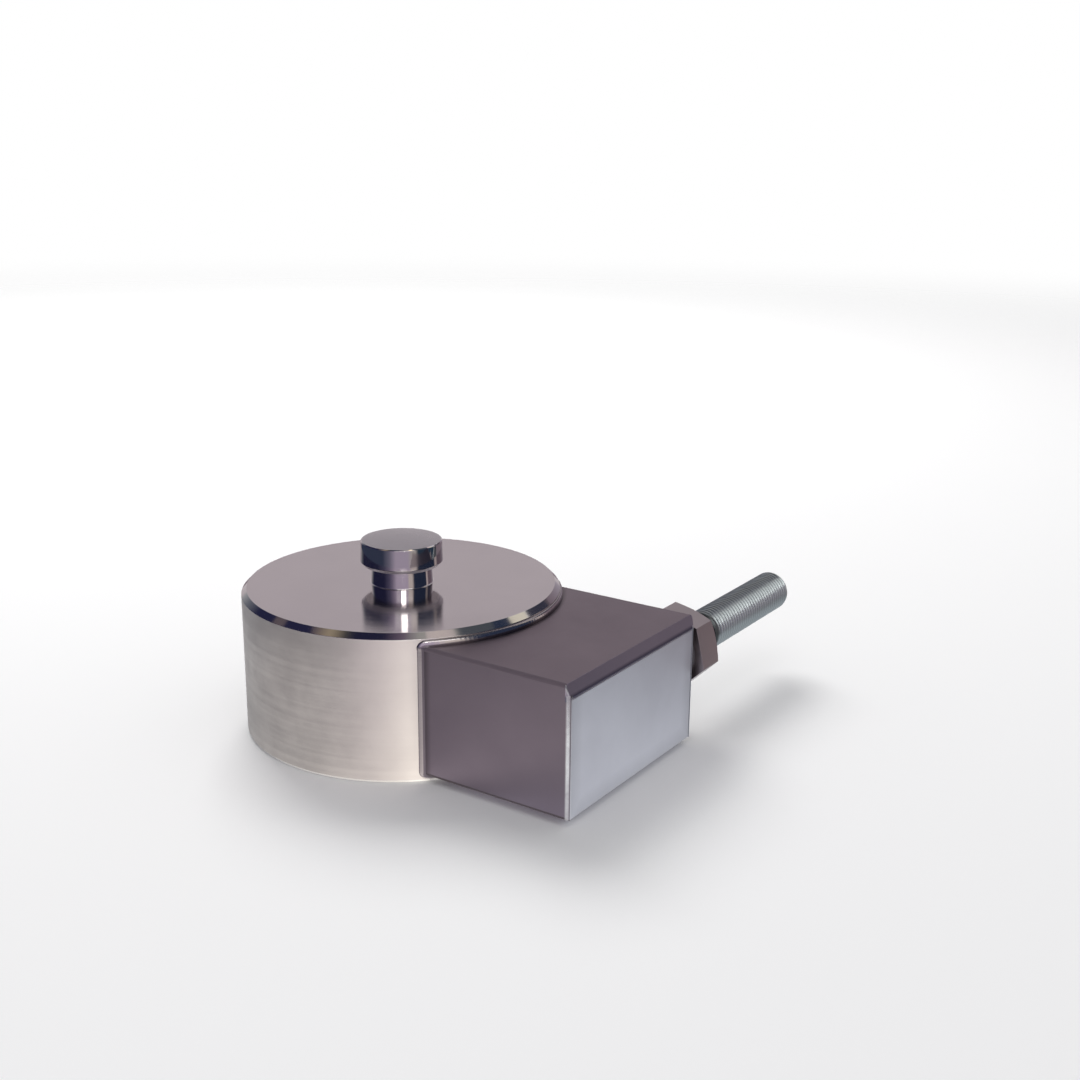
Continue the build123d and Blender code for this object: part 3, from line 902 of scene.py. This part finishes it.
# Threaded stem with its relief, run-in, chamfered end and bore
def stem_thread():
    """The stem as one closed tube, with a relief behind the hexagon and a thread out to its end."""
    end = stem_high.y
    start = hex_high.y + thread_start
    relief_end = hex_high.y + stem_relief_length
    relief_radius = stem_radius - stem_relief_depth

    def thread_radius(phase, distance):
        run_in = min(1.0, max(0.0, (distance - start) / thread_pitch))
        cut = (0.5 - 0.5 * math.cos(2 * math.pi * phase)) ** thread_crest_power
        chamfer = max(0.0, distance - (end - stem_end_chamfer))
        return min(stem_radius - run_in * thread_depth * cut, stem_radius - chamfer)

    def ring(distance, radius):
        angles = [2 * math.pi * step / stem_segments for step in range(stem_segments + 1)]
        return [(angle, distance, radius) for angle in angles]

    rows = [
        ring(stem_low.y, stem_bore_radius),
        ring(stem_low.y, relief_radius),
        ring(relief_end, relief_radius),
        ring(relief_end + stem_relief_slope, stem_radius - stem_lead_in),
        ring(start - stem_lead_in, stem_radius),
        *helix_surface(thread_radius, start, end, thread_pitch, stem_segments, thread_rows_per_turn),
        ring(end, stem_bore_radius),
        ring(stem_low.y, stem_bore_radius),
    ]
    points = [
        (gland_x + radius * math.cos(angle), distance, gland_z + radius * math.sin(angle))
        for line in rows
        for angle, distance, radius in line
    ]
    faces = grid_faces(len(rows), stem_segments + 1)
    piece = make_mesh("stem_threaded", points, faces, [stem_steel.material], thread_smooth_angle)
    place_piece(piece, "threaded_stem")


stem_thread()


# CAD nodes that keep their shape and get small rounds on their edges
def ease_edges(node, width, finish):
    """Adds a fine rounding to a CAD node's edges with modifiers and gives it its finish."""
    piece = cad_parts[node]
    join = piece.modifiers.new("join", "WELD")
    join.merge_threshold = eased_join_gap * MM
    flat = piece.modifiers.new("flat", "DECIMATE")
    flat.decimate_type = "DISSOLVE"
    flat.angle_limit = math.radians(eased_flat_angle)
    ease = piece.modifiers.new("ease", "BEVEL")
    ease.width = width * MM
    ease.segments = 3
    ease.limit_method = "ANGLE"
    ease.angle_limit = math.radians(eased_corner_angle)
    ease.harden_normals = True
    paint(node, finish)


def paint(node, finish):
    """Gives a CAD node its finish."""
    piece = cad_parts[node]
    if not piece.data.materials:
        piece.data.materials.append(finish.material)
    for slot in piece.material_slots:
        slot.material = finish.material


ease_edges("terminal_housing", 0.06, housing_steel)
ease_edges("end_cover", 0.12, cover_steel)
ease_edges("hex_fitting", 0.15, fitting_steel)
ease_edges("seal_washer", 0.25, seal_rubber)
ease_edges("cable_bush", 0.12, bush_rubber)
ease_edges("bottom_cover", 0.12, bottom_steel)

# Finishes of the pieces inside
inner_finishes = {
    "strain_gauge": moulded("gauge_film", (0.72, 0.44, 0.12), 0.35, 0.002),
    "bridge_harness": moulded("harness_film", (0.66, 0.38, 0.10), 0.4, 0.002),
    "terminal_strip": moulded("strip_laminate", (0.75, 0.70, 0.50), 0.5),
    "feed_sleeve": moulded("sleeve_polymer", (0.88, 0.88, 0.86), 0.4),
    "bridge_lead_1": moulded("lead_red", (0.60, 0.05, 0.04), 0.4),
    "bridge_lead_2": moulded("lead_black", (0.03, 0.03, 0.03), 0.4),
    "bridge_lead_3": moulded("lead_green", (0.05, 0.35, 0.10), 0.4),
    "bridge_lead_4": moulded("lead_white", (0.85, 0.85, 0.83), 0.4),
    "circuit_board": moulded("board_laminate", (0.05, 0.28, 0.12), 0.35, 0.004),
    "board_post": blasted_steel("post_brass", (0.72, 0.55, 0.25), 0.25, 0.001),
    "board_screw": blasted_steel("screw_steel", (0.60, 0.60, 0.60), 0.25, 0.001),
    "block_screw": blasted_steel("block_screw_steel", (0.60, 0.60, 0.60), 0.25, 0.001),
    "trim_resistor": moulded("resistor_body", (0.10, 0.10, 0.11), 0.5),
    "terminal_block": moulded("block_plastic", (0.10, 0.22, 0.45), 0.45),
}
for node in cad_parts:
    for start_of_name, finish in inner_finishes.items():
        if node.startswith(start_of_name):
            paint(node, finish)


# Studio: floor, reflected room, lamps and world
floor_colour = (0.93, 0.93, 0.935)
floor_roughness = 0.9
floor_fade_start = 550.0
floor_fade_end = 1600.0
floor_half_size = 2000.0
floor_sink = 0.02
room_distance = 1500.0
card_gap = 10.0
card_turn_step = 5
card_rise_step = 6
stop_slack = 0.5
navy = (0.026, 0.027, 0.075)
dusk = (0.12, 0.11, 0.19)
low_dusk = (0.18, 0.17, 0.23)
haze = (0.32, 0.27, 0.38)
mauve = (0.70, 0.60, 0.75)
beige = (0.90, 0.80, 0.74)
teal = (0.032, 0.045, 0.09)
far_grey = (0.24, 0.18, 0.22)
back_grey = (0.62, 0.56, 0.585)
low_blue = (0.042, 0.052, 0.09)
low_mauve = (0.46, 0.395, 0.49)
low_beige = (0.50, 0.46, 0.43)
low_teal = (0.03, 0.05, 0.08)
low_grey = (0.24, 0.19, 0.22)
night = (0.02, 0.02, 0.055)
ash = (0.07, 0.065, 0.07)
slate = (0.10, 0.11, 0.13)
rose = (0.17, 0.135, 0.15)
plum = (0.19, 0.14, 0.20)
left_slate = (0.19, 0.20, 0.24)
far_mauve = (0.42, 0.37, 0.43)
pale = (0.45, 0.43, 0.41)
gold = (0.46, 0.37, 0.26)
left_grey = (0.50, 0.50, 0.52)
streak = (0.80, 0.68, 0.66)
low_streak = (0.66, 0.55, 0.55)
under_streak = (1.3, 1.12, 1.0)
room_bands = [
    # name, elevation from, elevation to, (azimuth, colour) stops
    ("room", -6, 50, [
        (-202, left_grey), (-190, left_slate), (-178, navy), (-120, navy), (-98, dusk), (-84, haze),
        (-70, mauve), (-30, mauve), (-24, beige), (-13, beige), (-4, teal), (50, teal), (52, streak),
        (60, streak), (62, far_grey), (82, far_grey), (104, far_mauve), (107, back_grey), (158, back_grey),
    ]),
    ("low_room", -26, -6, [
        (-202, low_blue), (-104, low_blue), (-84, low_dusk), (-66, low_mauve), (-34, low_mauve),
        (-22, low_beige), (-13, low_beige), (-4, low_teal), (50, low_teal), (52, low_streak),
        (60, low_streak), (62, low_grey), (158, low_grey),
    ]),
    ("under_room", -50, -26, [
        (-202, low_blue), (-104, low_blue), (-66, low_mauve), (-22, low_beige), (-4, low_teal),
        (50, low_teal), (52, under_streak), (60, under_streak), (62, low_grey), (158, low_grey),
    ]),
    ("ceiling", 50, 80, [
        (-170, night), (-148, night), (-136, rose), (-125, gold), (-112, ash), (-104, night),
        (-74, night), (-50, plum), (-30, pale), (8, pale), (12, slate), (105, slate),
    ]),
    ("back_ceiling", 50, 62, [(105, back_grey), (158, back_grey)]),
]

# Cards of one colour: name, azimuth from, azimuth to, elevation from, elevation to, colour
bright_cards = [
    ("key_strip", -54, -37, 22.8, 28.0, (8.5, 8.2, 7.8)),
    ("softbox", -72, -8, 28, 58, (2.0, 1.95, 1.9)),
    ("pale_panel", -22, 7, 59, 72, (0.74, 0.64, 0.62)),
    ("far_upper_room", 60, 105, 22, 55, (0.80, 0.77, 0.80)),
]
near_cards = [
    ("rose_lamp", -164.5, -156.5, 33.5, 40, rose),
    ("gold_lamp", 50, 62.5, 35, 44, (1.0, 0.92, 0.77)),
    ("dark_panel", 62.5, 80, 21, 35, (0.05, 0.05, 0.08)),
    ("dim_panel", 51.5, 62.5, 20, 29, (0.30, 0.26, 0.25)),
    ("far_dim_panel", 80, 100, 20, 29, (0.12, 0.10, 0.12)),
    ("dome_lamp", -8.8, 8.8, 67, 73, (1.9, 1.6, 1.1)),
]

# Bright table round the object, from behind on the left to the housing and round to behind
table_radii = (1.0, 72.0, 160.0)
table_sink = 0.01
table_near_stops = [
    (-200, (0.50, 0.515, 0.525)), (-150, (0.52, 0.525, 0.53)), (-120, (0.66, 0.655, 0.66)),
    (-95, (0.86, 0.84, 0.83)), (-75, (1.07, 1.03, 1.00)), (-62, (1.20, 1.15, 1.10)),
    (-54, (1.42, 1.36, 1.28)), (-49, (1.80, 1.73, 1.61)), (-45, (1.88, 1.80, 1.68)),
]
table_far_stops = [
    (-200, (0.80, 0.81, 0.82)), (-150, (0.84, 0.83, 0.83)), (-120, (0.98, 0.95, 0.94)),
    (-95, (1.10, 1.06, 1.04)), (-75, (1.15, 1.10, 1.07)), (-62, (1.22, 1.17, 1.13)),
    (-54, (1.42, 1.36, 1.29)), (-48, (1.60, 1.54, 1.45)), (-45, (1.66, 1.60, 1.50)),
]
table_box_stops = [
    (-42, (0.78, 0.76, 0.74)), (-36, (0.78, 0.77, 0.76)), (-33, (1.30, 1.30, 1.30)),
    (-22, (1.30, 1.30, 1.30)), (-18, (0.80, 0.81, 0.84)), (12, (0.77, 0.78, 0.81)),
    (34, (0.65, 0.66, 0.69)), (160, (0.65, 0.66, 0.69)),
]
lamps = [
    # name, azimuth, elevation, distance, side, radiance, colour
    ("key_lamp", 140, 50, 1300.0, 700.0, 7.0, (1.0, 0.99, 0.97)),
    ("fill_lamp", -60, 62, 1400.0, 900.0, 0.7, (0.98, 0.985, 1.0)),
]
ambient_colour = (0.48, 0.48, 0.49)


def direction(azimuth, elevation):
    """Unit vector for an azimuth from +X and an elevation, in degrees."""
    turn, rise = math.radians(azimuth), math.radians(elevation)
    flat = math.cos(rise)
    return Vector((flat * math.cos(turn), flat * math.sin(turn), math.sin(rise)))


def empty_tree(block):
    """The node tree of a material or world, without nodes."""
    block.use_nodes = True
    block.node_tree.nodes.clear()
    return block.node_tree


def mixed_shaders(tree, share, first, second):
    """Mixes the shaders of two nodes."""
    mix = tree.nodes.new("ShaderNodeMixShader")
    for source, socket in zip((share, first.outputs[0], second.outputs[0]), mix.inputs):
        tree.links.new(source, socket)
    return mix.outputs[0]


def glow(name):
    """Plain emission in the colours of the card's own points."""
    material = bpy.data.materials.new(name)
    tree = empty_tree(material)
    output = tree.nodes.new("ShaderNodeOutputMaterial")
    light = tree.nodes.new("ShaderNodeEmission")
    colour = tree.nodes.new("ShaderNodeVertexColor")
    colour.layer_name = "glow"
    tree.links.new(colour.outputs["Color"], light.inputs["Color"])
    tree.links.new(light.outputs[0], output.inputs["Surface"])
    return material


def stop_colour(stops, azimuth):
    """The colour between the two stops on either side of an azimuth."""
    while azimuth > stops[-1][0] + stop_slack:
        azimuth -= 360
    for (turn, colour), (next_turn, next_colour) in zip(stops, stops[1:]):
        if azimuth <= next_turn:
            share = max(0.0, (azimuth - turn) / (next_turn - turn))
            return Vector(colour).lerp(Vector(next_colour), share)
    return Vector(stops[-1][1])


def stop_azimuths(stops):
    """Azimuths at the stops and every few degrees between them."""
    azimuths = [stops[0][0]]
    for (turn, _), (next_turn, _) in zip(stops, stops[1:]):
        steps = max(1, math.ceil((next_turn - turn) / card_turn_step))
        azimuths += [turn + (next_turn - turn) * step / steps for step in range(1, steps + 1)]
    return azimuths


def light_card(name, points, faces, stops):
    """A card that shows only in reflections, coloured by the azimuth of its points."""
    card = make_mesh(name, points, faces, [glow(name)])
    colours = card.data.color_attributes.new("glow", "FLOAT_COLOR", "POINT")
    for vertex, entry in zip(card.data.vertices, colours.data):
        azimuth = math.degrees(math.atan2(vertex.co.y, vertex.co.x))
        entry.color = (*stop_colour(stops, azimuth), 1.0)
    card.visible_camera = False
    card.visible_diffuse = False
    card.visible_shadow = False
    card.visible_transmission = False
    card.visible_volume_scatter = False


def table_card(name, radii, stops):
    """A ring of the bright table top as the turned wall reflects it."""
    azimuths = stop_azimuths(stops)
    sink = Vector((0, 0, table_sink))
    points = [direction(azimuth, 0) * radius - sink for azimuth in azimuths for radius in radii]
    light_card(name, points, grid_faces(len(azimuths), len(radii)), stops)


def room_band(name, rise_from, rise_to, stops, distance=room_distance):
    """A curved card round the object between two elevations."""
    azimuths = stop_azimuths(stops)
    rises = max(2, int((rise_to - rise_from) / card_rise_step))
    points = []
    for rise in range(rises + 1):
        elevation = rise_from + (rise_to - rise_from) * rise / rises
        points += [direction(azimuth, elevation) * distance for azimuth in azimuths]
    light_card(name, points, grid_faces(rises + 1, len(azimuths)), stops)


def room_card(name, turn_from, turn_to, rise_from, rise_to, colour, distance):
    """A curved card of one colour, given by its azimuths and elevations."""
    room_band(name, rise_from, rise_to, [(turn_from, colour), (turn_to, colour)], distance)


def area_lamp(name, azimuth, elevation, distance, side, radiance, colour):
    """A soft square lamp that faces the object."""
    light = bpy.data.lights.new(name, "AREA")
    light.size = side * MM
    light.energy = radiance * math.pi * light.size**2
    light.color = colour
    lamp = bpy.data.objects.new(name, light)
    towards = direction(azimuth, elevation)
    lamp.location = towards * distance * MM
    lamp.rotation_euler = towards.to_track_quat("Z", "Y").to_euler()
    lamp.visible_camera = False
    lamp.visible_glossy = False
    bpy.context.scene.collection.objects.link(lamp)


def studio_floor():
    """A plain pale floor that fades into the white background."""
    size = floor_half_size
    corners = ((-size, -size), (size, -size), (size, size), (-size, size))
    points = [(x, y, -floor_sink) for x, y in corners]
    finish = Finish("floor", floor_colour, 0.0, floor_roughness)
    finish.feed("Specular IOR Level", 0.0)
    tree = finish.tree
    length = tree.nodes.new("ShaderNodeVectorMath")
    length.operation = "LENGTH"
    finish.link(finish.place, length.inputs[0])
    fade = finish.ramp(length.outputs["Value"], floor_fade_start, floor_fade_end)
    fade.node.interpolation_type = "SMOOTHERSTEP"
    mixed = mixed_shaders(tree, fade, finish.shader, tree.nodes.new("ShaderNodeBsdfTransparent"))
    finish.link(mixed, tree.nodes["Material Output"].inputs["Surface"])
    floor = make_mesh("floor", points, [(0, 1, 2, 3)], [finish.material])
    floor.visible_glossy = False


def studio_world():
    """A soft even sky as light, and white as the background that cameras and metal see."""
    world = bpy.data.worlds.new("studio")
    tree = empty_tree(world)
    output = tree.nodes.new("ShaderNodeOutputWorld")
    sky = tree.nodes.new("ShaderNodeBackground")
    sky.inputs["Color"].default_value = (*ambient_colour, 1.0)
    white = tree.nodes.new("ShaderNodeBackground")
    white.inputs["Color"].default_value = (1.0, 1.0, 1.0, 1.0)
    path = tree.nodes.new("ShaderNodeLightPath")
    seen = path.outputs["Is Camera Ray"]
    for name in ("Is Glossy Ray", "Is Transmission Ray"):
        either = tree.nodes.new("ShaderNodeMath")
        either.operation = "MAXIMUM"
        tree.links.new(seen, either.inputs[0])
        tree.links.new(path.outputs[name], either.inputs[1])
        seen = either.outputs[0]
    tree.links.new(mixed_shaders(tree, seen, sky, white), output.inputs["Surface"])
    bpy.context.scene.world = world


studio_floor()
studio_world()
for band_values in room_bands:
    room_band(*band_values)
for card_values in bright_cards:
    room_card(*card_values, room_distance - card_gap)
table_card("table_near", table_radii[:2], table_near_stops + table_box_stops)
table_card("table_far", table_radii[1:], table_far_stops + table_box_stops)
for card_values in near_cards:
    room_card(*card_values, room_distance - 2 * card_gap)
for lamp_values in lamps:
    area_lamp(*lamp_values)

# Camera
camera_data = bpy.data.cameras.new("camera")
camera_data.lens = camera_lens
camera_data.sensor_width = camera_sensor
camera = bpy.data.objects.new("camera", camera_data)
camera.location = Vector(camera_place) * MM
camera.rotation_euler = [math.radians(angle) for angle in camera_turn]
bpy.context.scene.collection.objects.link(camera)
bpy.context.scene.camera = camera
bpy.context.scene.view_settings.view_transform = "Standard"
